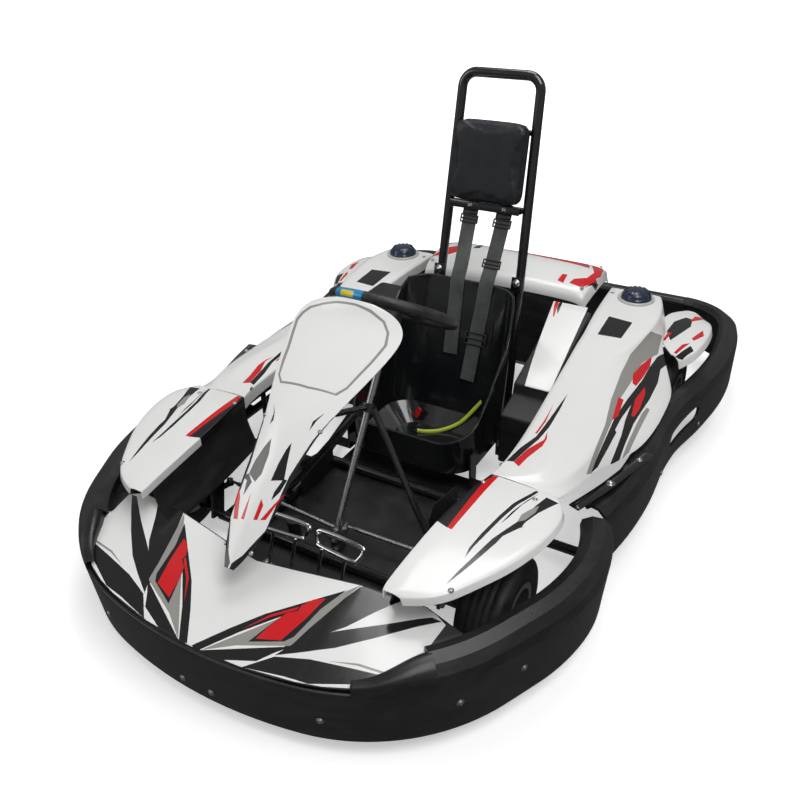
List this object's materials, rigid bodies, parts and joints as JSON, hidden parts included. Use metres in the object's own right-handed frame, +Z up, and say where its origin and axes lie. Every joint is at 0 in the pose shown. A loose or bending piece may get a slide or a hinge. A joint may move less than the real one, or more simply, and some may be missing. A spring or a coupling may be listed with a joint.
{
  "type": "rental racing kart",
  "caption": "Rental racing kart with a wrap-round bumper, moulded bodywork, bucket seat with roll bar, working steering linkage and rolling wheels.",
  "frame": {"origin": "on the ground at the middle of the kart's length and width", "axes": "-Y is the front, +X is the driver's left, +Z is up"},
  "size_m": [1.4578, 2.1, 1.08],
  "materials": {
    "frame_black": "gloss",
    "floor_sheet": "satin",
    "bumper_plastic": "satin",
    "white_plastic": "gloss",
    "chrome": "polished",
    "dark_plastic": "satin",
    "seat_black": "gloss",
    "pad_black": "satin",
    "webbing": "matte",
    "dark_metal": "satin",
    "cap_blue": "gloss",
    "grip_black": "matte",
    "bright_steel": "satin",
    "tyre": "matte",
    "rim": "satin"
  },
  "bodies": {
    "chassis": {"air_box": "dark_plastic", "brake_reservoir": "dark_plastic", "chain_guard": "dark_plastic", "column_support": "frame_black", "cross_tubes": "frame_black", "engine_block": "dark_metal", "floor_tray": "floor_sheet", "footwell_side_left": "dark_plastic", "footwell_side_right": "dark_plastic", "front_band": "bumper_plastic", "front_fender_left": "white_plastic", "front_fender_right": "white_plastic", "front_hoops": "frame_black", "front_panel": "white_plastic", "front_yoke_left": "frame_black", "front_yoke_right": "frame_black", "fuel_tank": "dark_plastic", "harness_buckle": "dark_metal", "headrest": "pad_black", "main_rail_left": "frame_black", "main_rail_right": "frame_black", "nose_bumper": "bumper_plastic", "pedals": "chrome", "rear_bumper": "bumper_plastic", "rear_cover": "white_plastic", "rear_fender_left": "white_plastic", "rear_fender_right": "white_plastic", "roll_bar": "frame_black", "seat": "seat_black", "seat_tabs": "frame_black", "shoulder_straps": "webbing", "side_bar_left": "frame_black", "side_bar_right": "frame_black", "side_bumper_left": "bumper_plastic", "side_bumper_right": "bumper_plastic", "side_pod_left": "white_plastic", "side_pod_right": "white_plastic", "tail_bars": "frame_black", "tank_caps": "cap_blue", "tank_cover": "white_plastic"},
    "steering": {"steering_wheel": "grip_black", "steering_hub": "dark_metal", "steering_column": "chrome"},
    "knuckle_left": {"knuckle_left": "dark_metal"},
    "tie_rod_left": {"tie_rod_left": "bright_steel"},
    "front_wheel_left": {"front_tyre_left": "tyre", "front_rim_left": "rim"},
    "knuckle_right": {"knuckle_right": "dark_metal"},
    "tie_rod_right": {"tie_rod_right": "bright_steel"},
    "front_wheel_right": {"front_tyre_right": "tyre", "front_rim_right": "rim"},
    "rear_axle": {"axle_shaft": "bright_steel", "brake_disc": "bright_steel", "rear_rim_left": "rim", "rear_rim_right": "rim", "rear_tyre_left": "tyre", "rear_tyre_right": "tyre", "sprocket": "bright_steel"}
  },
  "joints": [
    {"name": "steering_turn", "type": "hinge", "parent": "chassis", "child": "steering", "pos_m": [0, -0.183, 0.6], "axis": [0, 0.5446, 0.8387], "range_deg": [-45, 45]},
    {"name": "kingpin_left", "type": "hinge", "parent": "chassis", "child": "knuckle_left", "pos_m": [0.39, -0.565, 0.127], "axis": [0, 0.2079, 0.9781], "range_deg": [-18.45, 18.45]},
    {"name": "rod_pivot_left", "type": "hinge", "parent": "steering", "child": "tie_rod_left", "pos_m": [0, -0.4666, 0.08068], "axis": [0, 0.5446, 0.8387], "range_deg": [-45, 45]},
    {"name": "front_wheel_spin_left", "type": "hinge", "parent": "knuckle_left", "child": "front_wheel_left", "pos_m": [0.48, -0.565, 0.127], "axis": [1, 0, 0], "continuous": true},
    {"name": "kingpin_right", "type": "hinge", "parent": "chassis", "child": "knuckle_right", "pos_m": [-0.39, -0.565, 0.127], "axis": [0, 0.2079, 0.9781], "range_deg": [-18.45, 18.45]},
    {"name": "rod_pivot_right", "type": "hinge", "parent": "steering", "child": "tie_rod_right", "pos_m": [0, -0.4666, 0.08068], "axis": [0, 0.5446, 0.8387], "range_deg": [-45, 45]},
    {"name": "front_wheel_spin_right", "type": "hinge", "parent": "knuckle_right", "child": "front_wheel_right", "pos_m": [-0.48, -0.565, 0.127], "axis": [1, 0, 0], "continuous": true},
    {"name": "rear_axle_spin", "type": "hinge", "parent": "chassis", "child": "rear_axle", "pos_m": [0, 0.51, 0.14], "axis": [1, 0, 0], "continuous": true}
  ],
  "couplings": [
    {"joint": "kingpin_left", "follows": "steering_turn", "ratio": 0.41},
    {"joint": "rod_pivot_left", "follows": "steering_turn", "ratio": -1},
    {"joint": "kingpin_right", "follows": "steering_turn", "ratio": 0.41},
    {"joint": "rod_pivot_right", "follows": "steering_turn", "ratio": -1}
  ]
}
